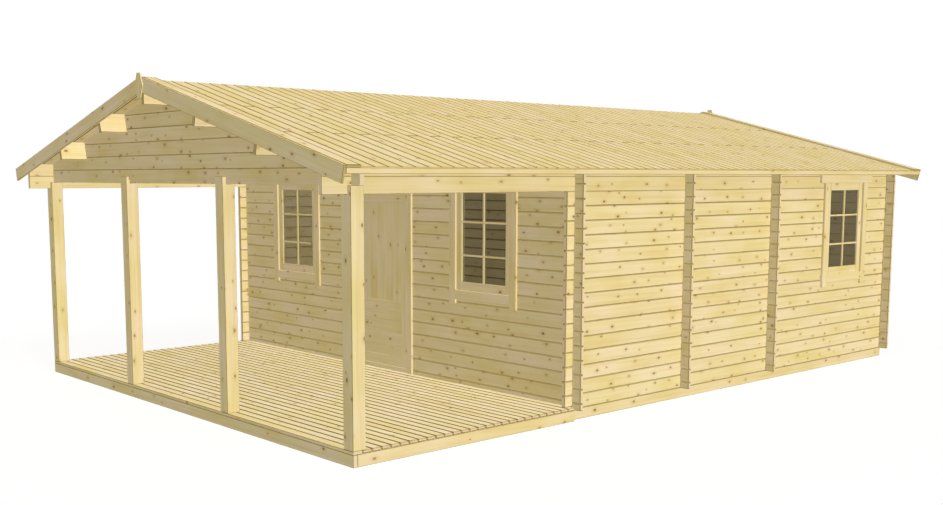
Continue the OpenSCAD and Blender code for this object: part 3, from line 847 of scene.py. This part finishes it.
for node in ("house_side_beams", "porch_side_beams", "porch_joists"):
    planeNode(node, axisOf["y"], framePine, planing["frame"])
for node in ("house_joists", "porch_front_beam"):
    planeNode(node, axisOf["x"], framePine, planing["frame"])
for node in ("ridge_purlin", "upper_purlins", "lower_purlins"):
    planeNode(node, axisOf["y"], purlinPine, planing["frame"])
planeNode("eave_battens", axisOf["y"], framePine, planing["frame"])
for node in ("corner_posts", "middle_posts"):
    planeNode(node, axisOf["z"], framePine, planing["frame"])
planeNode("apex_plates", axisOf["z"], framePine, planing["frame"])
for node in ("left_eave_plate", "right_eave_plate"):
    planeNode(node, axisOf["y"], logPine, planing["log"], baseTop)
for node in ("porch_gable", "front_gable", "back_gable"):
    planeNode(node, axisOf["x"], gablePine, planing["log"], baseTop + logHeight / 2)
for sideName, side in (("left", -1), ("right", 1)):
    down, up = slopeFrame(side)
    planeNode(sideName + "_verge_boards", down, roofPine, planing["frame"], rim=planing["rim"])
    for place in ("front", "back"):
        planeNode(place + "_" + sideName + "_barge", down, purlinPine, planing["frame"])

# Glass and zinc plated steel
glass = {"color": (0.035, 0.031, 0.018, 1), "alpha": 0.47, "roughness": 0.04, "gloss": 0.07}
steel = {
    "spangle": (220.0, 220.0, 220.0),
    "detail": 3.0,
    "dark": (0.48, 0.48, 0.47, 1),
    "pale": (0.62, 0.62, 0.61, 1),
    "limits": (0.3, 0.7),
    "roughness": (0.30, 0.45),
}
paneGlass, tree, surface = newMaterial("paneGlass")
surface.inputs["Base Color"].default_value = glass["color"]
surface.inputs["Alpha"].default_value = glass["alpha"]
surface.inputs["Roughness"].default_value = glass["roughness"]
surface.inputs["Specular IOR Level"].default_value = glass["gloss"]

hingeSteel, tree, surface = newMaterial("hingeSteel")
spot = tree.nodes.new("ShaderNodeTexCoord").outputs["Object"]
spangle = noise(tree, vec(tree, "MULTIPLY", spot, steel["spangle"]), steel["detail"])
zinc = blend(tree, ramp(tree, spangle, *steel["limits"]), steel["dark"], steel["pale"])
wire(tree, zinc, surface.inputs["Base Color"])
wire(tree, ramp(tree, spangle, *steel["limits"], *steel["roughness"]), surface.inputs["Roughness"])
surface.inputs["Metallic"].default_value = 1.0
finishes = {"window_glass": paneGlass, "hinge_pins": hingeSteel, "hinge_straps": hingeSteel}
for name, material in finishes.items():
    nodes[name].data.materials.clear()
    nodes[name].data.materials.append(material)
print("finishes on", len(finishes), "nodes")

# Heads of nails and screws
heads = {
    "sides": 8,
    "taper": 0.7,
    "nailRadius": 0.0035,
    "screwRadius": 0.004,
    "rise": 0.0008,
    "fromEdge": 0.024,
    "deckRows": 7,
    "vergeWidth": 0.140,
    "vergeThick": 0.020,
    "hinges": (0.12, 0.5, 0.86),  # heights on the leaf
    "strapThick": 0.005,
    "strapSpots": ((0.014, 0.056), (0.014, 0.080), (0.042, 0.068)),  # beside and above each hinge's foot
}


def buildHeadTree():
    tree = bpy.data.node_groups.new("headSet", "GeometryNodeTree")
    given, result = addSockets(
        tree,
        [("Heads", "Geometry", None), ("Radius", "Float", 0.004), ("Rise", "Float", 0.001),
         ("Finish", "Material", None)],
        [("Geometry", "Geometry")])
    head = tree.nodes.new("GeometryNodeMeshCone")
    head.inputs["Vertices"].default_value = heads["sides"]
    wire(tree, given["Radius"], head.inputs["Radius Bottom"])
    wire(tree, num(tree, "MULTIPLY", given["Radius"], heads["taper"]), head.inputs["Radius Top"])
    wire(tree, given["Rise"], head.inputs["Depth"])
    turn = tree.nodes.new("FunctionNodeEulerToRotation")
    wire(tree, namedField(tree, "turn", "FLOAT_VECTOR"), turn.inputs[0])
    setOut = tree.nodes.new("GeometryNodeInstanceOnPoints")
    wire(tree, given["Heads"], setOut.inputs["Points"])
    wire(tree, head.outputs["Mesh"], setOut.inputs["Instance"])
    wire(tree, turn.outputs[0], setOut.inputs["Rotation"])
    solid = tree.nodes.new("GeometryNodeRealizeInstances")
    wire(tree, setOut.outputs[0], solid.inputs[0])
    finish = tree.nodes.new("GeometryNodeSetMaterial")
    wire(tree, solid.outputs[0], finish.inputs["Geometry"])
    wire(tree, given["Finish"], finish.inputs["Material"])
    wire(tree, finish.outputs[0], result["Geometry"])
    return tree


headTree = buildHeadTree()


def makeHeads(name, places, radius, body):
    points = [place for place, facing in places]
    turns = [Vector(facing.to_track_quat("Z", "Y").to_euler()) for place, facing in places]
    inputs = {"Radius": radius, "Rise": heads["rise"], "Finish": hingeSteel}
    piece = runTree(name, points, {"turn": turns}, headTree, inputs, ("turn",))
    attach(piece, body)
    print(name, "has", len(places), "heads")


nails = []
vergeLow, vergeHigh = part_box("right_verge_boards")
bearers = [logThick / 4]  # the ridge purlin's half, then the middle of each bearer down the slope
bearers += [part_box(n)[1].x - logThick / 2 for n in ("upper_purlins", "lower_purlins", "right_wall")]
bareMarks = boardMarks[2:-3]  # the verge boards cover the boards at both ends
for side in (-1, 1):
    down, up = slopeFrame(side)
    for x in bearers:
        foot = Vector((0, 0, ridgeZ)) + down * x / math.cos(pitch)
        for y in bareMarks:
            for shift in (heads["fromEdge"], boardStep - heads["fromEdge"]):
                nails.append((foot + axisOf["y"] * (y + shift), up))
        for y in (vergeLow.y, vergeHigh.y - heads["vergeWidth"]):
            for shift in (heads["fromEdge"], heads["vergeWidth"] - heads["fromEdge"]):
                nails.append((foot + axisOf["y"] * (y + shift) + up * heads["vergeThick"], up))
makeHeads("roofNails", nails, heads["nailRadius"], "cabin")
screws = []
joistStep = (deckHigh.x - deckLow.x - logThick) / (heads["deckRows"] - 1)
for k in range(deckBoards["count"]):
    for row in range(heads["deckRows"]):
        x = deckLow.x + logThick / 2 + row * joistStep
        for shift in (heads["fromEdge"], deckWidth - heads["fromEdge"]):
            screws.append((Vector((x, deckLow.y + k * deckStep + shift, deckHigh.z)), axisOf["z"]))
makeHeads("deckScrews", screws, heads["screwRadius"], "cabin")
screws = []
for place in heads["hinges"]:
    foot = Vector((leafLow.x, leafLow.y - heads["strapThick"], leafLow.z + place * (leafHigh.z - leafLow.z)))
    for x, z in heads["strapSpots"]:
        screws.append((foot + Vector((x, 0, z)), -axisOf["y"]))
makeHeads("hingeScrews", screws, heads["screwRadius"], "door")


# Stage: pale floor, white surroundings, soft light and the camera
def seenRays(tree):
    path = tree.nodes.new("ShaderNodeLightPath").outputs
    mirrored = num(tree, "MAXIMUM", path["Is Glossy Ray"], path["Is Transmission Ray"])
    return num(tree, "MAXIMUM", path["Is Camera Ray"], mirrored)


ground = {
    "size": 120.0,
    "drop": 0.001,
    "color": (0.95, 0.95, 0.95, 1),
    "bounce": (0.30, 0.30, 0.30, 1),
    "glow": 0.13,
    "glowColor": (1.0, 0.91, 0.77, 1),  # evens out the tint of the lamps
    "roughness": 0.9,
}
mesh = bpy.data.meshes.new("floor")
half = ground["size"] / 2
corners = ((-half, -half), (half, -half), (half, half), (-half, half))
mesh.from_pydata([(x, y, -ground["drop"]) for x, y in corners], [], [(0, 1, 2, 3)])
floor = bpy.data.objects.new("floor", mesh)
scene.collection.objects.link(floor)
floorPaint, tree, surface = newMaterial("floorPaint")
seen = seenRays(tree)
wire(tree, blend(tree, seen, ground["bounce"], ground["color"]), surface.inputs["Base Color"])
wire(tree, num(tree, "MULTIPLY", seen, ground["glow"]), surface.inputs["Emission Strength"])
surface.inputs["Emission Color"].default_value = ground["glowColor"]
surface.inputs["Roughness"].default_value = ground["roughness"]
surface.inputs["Specular IOR Level"].default_value = 0.0
mesh.materials.append(floorPaint)

light = {
    "ambient": 0.12,
    "angle": 20.0,
    # direction, strength, colour, shadow and bounces of each lamp
    "key": ((0.763, -0.153, 0.628), 0.897, (1.0, 1.0, 1.0), False, 0),
    "shade": ((0.763, -0.153, 0.628), 0.05, (1.0, 1.0, 1.0), True, 0),
    "room": ((0.50, -0.80, 0.33), 0.32, (0.86, 0.92, 1.06), False, 2),  # two bounces pass a pane
    "fill": ((-0.728, 0.659, 0.19), 0.66, (0.95, 0.98, 1.0), False, 0),
    "under": ((0.0, -0.1, -1.0), 0.48, (1.0, 1.0, 1.0), False, 0),
}
world = bpy.data.worlds.new("studio")
scene.world = world
world.use_nodes = True
tree = world.node_tree
sky = tree.nodes["Background"]
sky.inputs["Color"].default_value = (1, 1, 1, 1)
strength = ramp(tree, seenRays(tree), 0.0, 1.0, light["ambient"], 1.0, smooth=False)
wire(tree, strength, sky.inputs["Strength"])


def addSun(name, direction, strength, color, shadow, bounces):
    lamp = bpy.data.lights.new(name, "SUN")
    lamp.energy = strength * math.pi
    lamp.color = color
    lamp.angle = math.radians(light["angle"])
    lamp.use_shadow = shadow
    lamp.cycles.max_bounces = bounces
    sun = bpy.data.objects.new(name, lamp)
    sun.rotation_euler = Vector(direction).to_track_quat("Z", "Y").to_euler()
    scene.collection.objects.link(sun)


for name in ("key", "shade", "room", "fill", "under"):
    addSun(name + "Light", *light[name])

view = {
    "place": (9.767, frontY - 7.642, 2.263),
    "turn": (83.096, 0.0, 48.604),  # degrees
    "lens": 42.68,
    "sensor": 36.0,
    "shift": (0.0265, 0.0627),
}
camera = bpy.data.objects.new("camera", bpy.data.cameras.new("camera"))
camera.location = view["place"]
camera.rotation_euler = [math.radians(a) for a in view["turn"]]
camera.data.lens, camera.data.sensor_width = view["lens"], view["sensor"]
camera.data.shift_x, camera.data.shift_y = view["shift"]
scene.collection.objects.link(camera)
scene.camera = camera
scene.view_settings.view_transform = "Standard"
bpy.data.objects.remove(unitTimber)
print("stage set")
